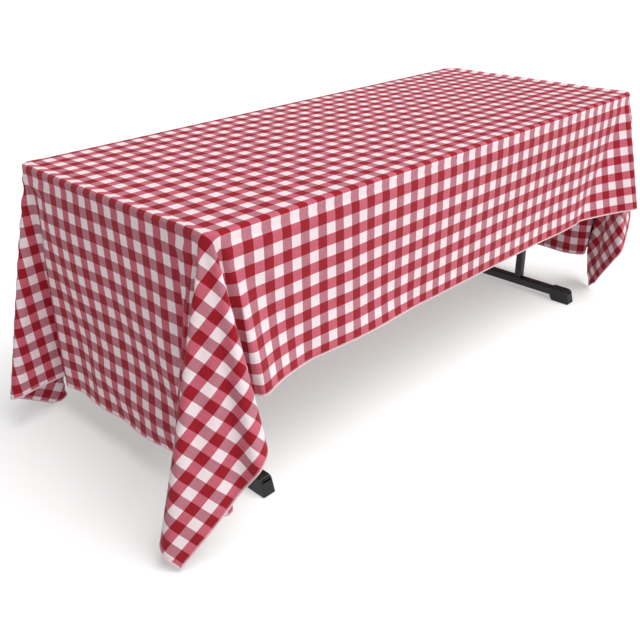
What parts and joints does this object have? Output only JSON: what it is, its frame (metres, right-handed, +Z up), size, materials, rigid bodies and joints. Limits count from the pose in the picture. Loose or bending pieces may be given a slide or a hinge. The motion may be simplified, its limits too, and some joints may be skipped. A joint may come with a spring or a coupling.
{
  "type": "tablecloth on a folding table",
  "caption": "Rectangular gingham tablecloth draped over a folding banquet table, with long ends, gathered corner ears and black T-foot legs that fold under the top.",
  "frame": {"origin": "on the floor below the middle of the table", "axes": "+X along the table's length, +Y from the front long side to the back one, +Z up"},
  "size_m": [2.1886, 1.0038, 0.7413],
  "materials": {
    "gingham": "woven red and white gingham, matt",
    "laminate": "laminate faced plywood",
    "black_plastic": "moulded, matt",
    "black_steel": "black powder coat",
    "rail_steel": "dark paint",
    "zinc_plate": "bright zinc plate"
  },
  "bodies": {
    "table": {"table_top": "laminate", "edge_band": "black_plastic", "side_rail_front": "rail_steel", "side_rail_back": "rail_steel", "end_rail_left": "rail_steel", "end_rail_right": "rail_steel", "centre_rail": "rail_steel", "hinge_bracket_left_front": "rail_steel", "hinge_screw_left_front_1": "zinc_plate", "hinge_screw_left_front_2": "zinc_plate", "brace_screw_left_front": "zinc_plate", "hinge_bracket_left_back": "rail_steel", "hinge_screw_left_back_1": "zinc_plate", "hinge_screw_left_back_2": "zinc_plate", "brace_screw_left_back": "zinc_plate", "brace_bracket_left": "rail_steel", "brace_pin_left": "zinc_plate", "hinge_bracket_right_front": "rail_steel", "hinge_screw_right_front_1": "zinc_plate", "hinge_screw_right_front_2": "zinc_plate", "brace_screw_right_front": "zinc_plate", "hinge_bracket_right_back": "rail_steel", "hinge_screw_right_back_1": "zinc_plate", "hinge_screw_right_back_2": "zinc_plate", "brace_screw_right_back": "zinc_plate", "brace_bracket_right": "rail_steel", "brace_pin_right": "zinc_plate"},
    "left_leg": {"pivot_bar_left": "black_steel", "leg_post_left_front": "black_steel", "leg_post_left_back": "black_steel", "crossbar_left": "black_steel", "foot_bar_left": "black_steel", "foot_cap_left_front": "black_plastic", "foot_cap_left_back": "black_plastic", "hinge_bolt_left_front": "zinc_plate", "hinge_bolt_left_back": "zinc_plate"},
    "left_upper_link": {"upper_link_left": "zinc_plate", "knee_rivet_upper_left": "zinc_plate"},
    "left_lower_link": {"lower_link_left": "zinc_plate", "knee_rivet_lower_left": "zinc_plate"},
    "right_leg": {"pivot_bar_right": "black_steel", "leg_post_right_front": "black_steel", "leg_post_right_back": "black_steel", "crossbar_right": "black_steel", "foot_bar_right": "black_steel", "foot_cap_right_front": "black_plastic", "foot_cap_right_back": "black_plastic", "hinge_bolt_right_front": "zinc_plate", "hinge_bolt_right_back": "zinc_plate"},
    "right_upper_link": {"upper_link_right": "zinc_plate", "knee_rivet_upper_right": "zinc_plate"},
    "right_lower_link": {"lower_link_right": "zinc_plate", "knee_rivet_lower_right": "zinc_plate"},
    "cloth": {"tablecloth": "gingham"}
  },
  "joints": [
    {"name": "left_leg_fold", "type": "hinge", "parent": "table", "child": "left_leg", "pos_m": [-0.743, 0, 0.68], "axis": [0, -1, 0], "range_deg": [0, 90]},
    {"name": "left_upper_link_turn", "type": "hinge", "parent": "table", "child": "left_upper_link", "pos_m": [-0.383, 0, 0.702], "axis": [0, -1, 0], "range_deg": [-41.6, 0]},
    {"name": "left_lower_link_turn", "type": "hinge", "parent": "left_leg", "child": "left_lower_link", "pos_m": [-0.743, 0, 0.38], "axis": [0, -1, 0], "range_deg": [0, 42.7]},
    {"name": "right_leg_fold", "type": "hinge", "parent": "table", "child": "right_leg", "pos_m": [0.743, 0, 0.68], "axis": [0, 1, 0], "range_deg": [0, 90]},
    {"name": "right_upper_link_turn", "type": "hinge", "parent": "table", "child": "right_upper_link", "pos_m": [0.383, 0, 0.702], "axis": [0, 1, 0], "range_deg": [-41.6, 0]},
    {"name": "right_lower_link_turn", "type": "hinge", "parent": "right_leg", "child": "right_lower_link", "pos_m": [0.743, 0, 0.38], "axis": [0, 1, 0], "range_deg": [0, 42.7]},
    {"name": "cloth_lift", "type": "slide", "parent": "table", "child": "cloth", "axis": [0, 0, 1], "range_m": [0, 0.72]}
  ],
  "couplings": [
    {"joint": "left_upper_link_turn", "follows": "left_leg_fold", "ratio": -0.46129},
    {"joint": "left_lower_link_turn", "follows": "left_leg_fold", "ratio": 0.47346},
    {"joint": "right_upper_link_turn", "follows": "right_leg_fold", "ratio": -0.46129},
    {"joint": "right_lower_link_turn", "follows": "right_leg_fold", "ratio": 0.47346}
  ]
}
